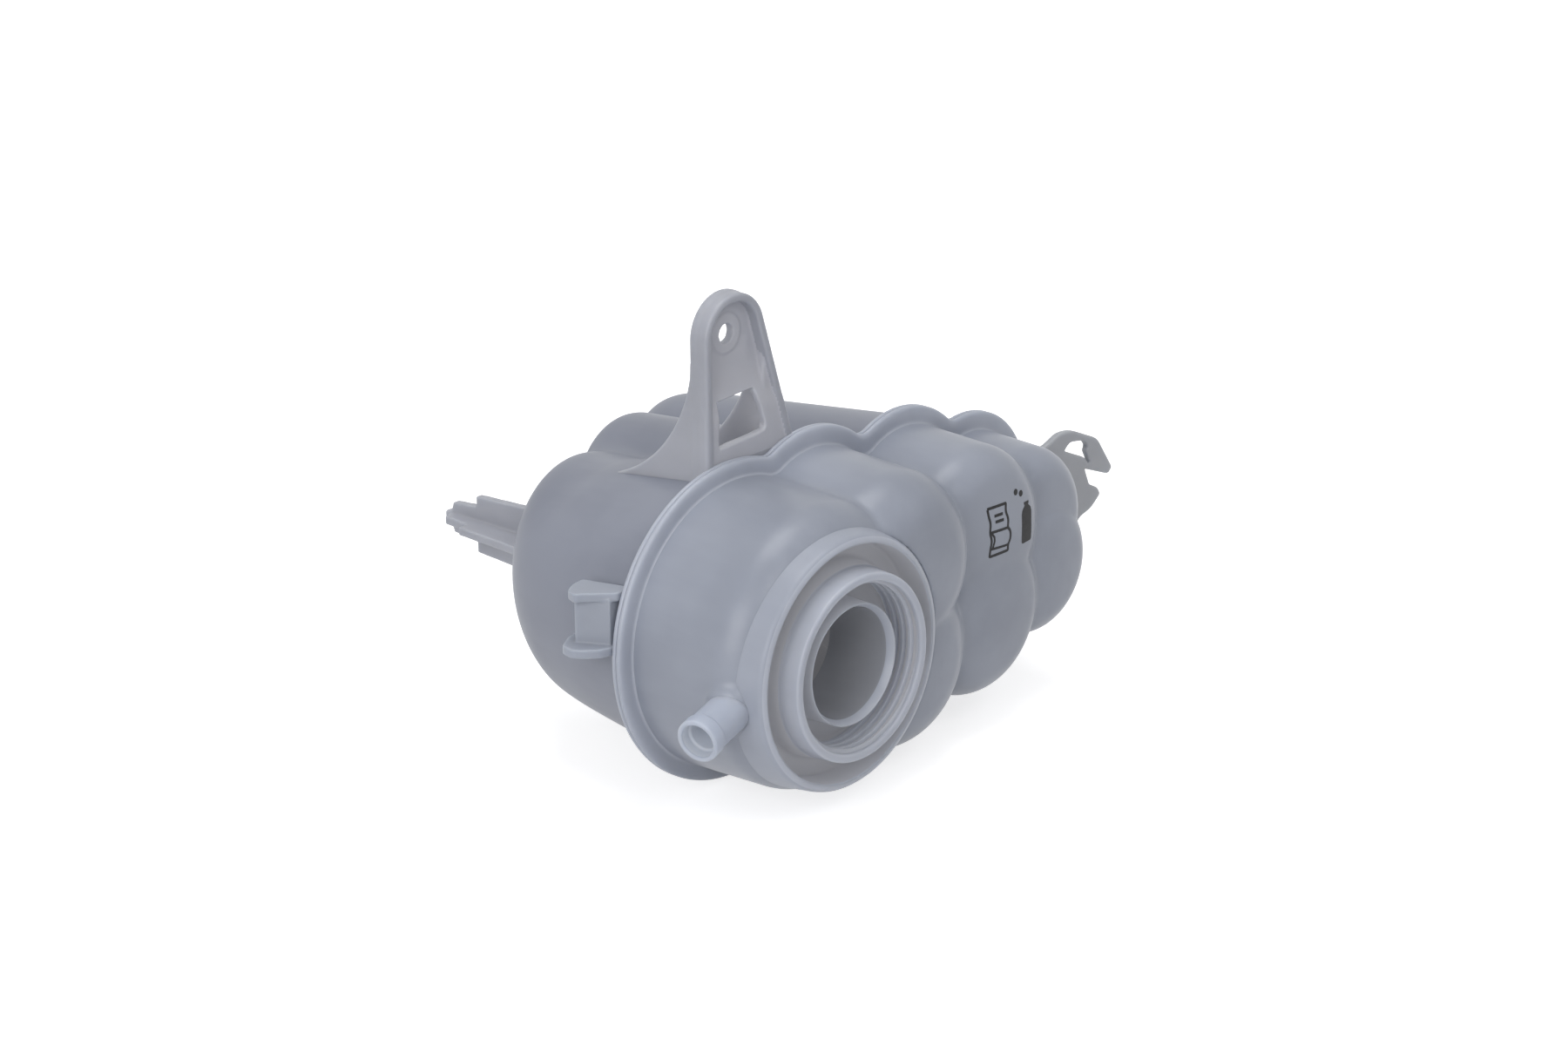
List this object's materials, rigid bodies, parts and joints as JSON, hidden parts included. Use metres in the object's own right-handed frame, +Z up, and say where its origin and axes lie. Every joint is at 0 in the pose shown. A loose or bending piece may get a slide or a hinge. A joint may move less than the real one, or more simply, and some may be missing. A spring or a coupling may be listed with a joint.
{
  "type": "coolant expansion tank",
  "caption": "Coolant expansion tank: round lobes in a row, welded rim, open filler neck, hose nipple, bolt bracket, clip, lug and peg.",
  "frame": {"origin": "centre of the filler neck's mouth", "axes": "-Y out of the filler neck, +X along the row of lobes towards the lug, +Z up towards the bracket's bolt hole"},
  "size_m": [0.2597, 0.1782, 0.1588],
  "materials": {
    "shell": "satin"
  },
  "bodies": {
    "root": {"front_shell": "shell", "rear_shell": "shell"}
  },
  "joints": []
}
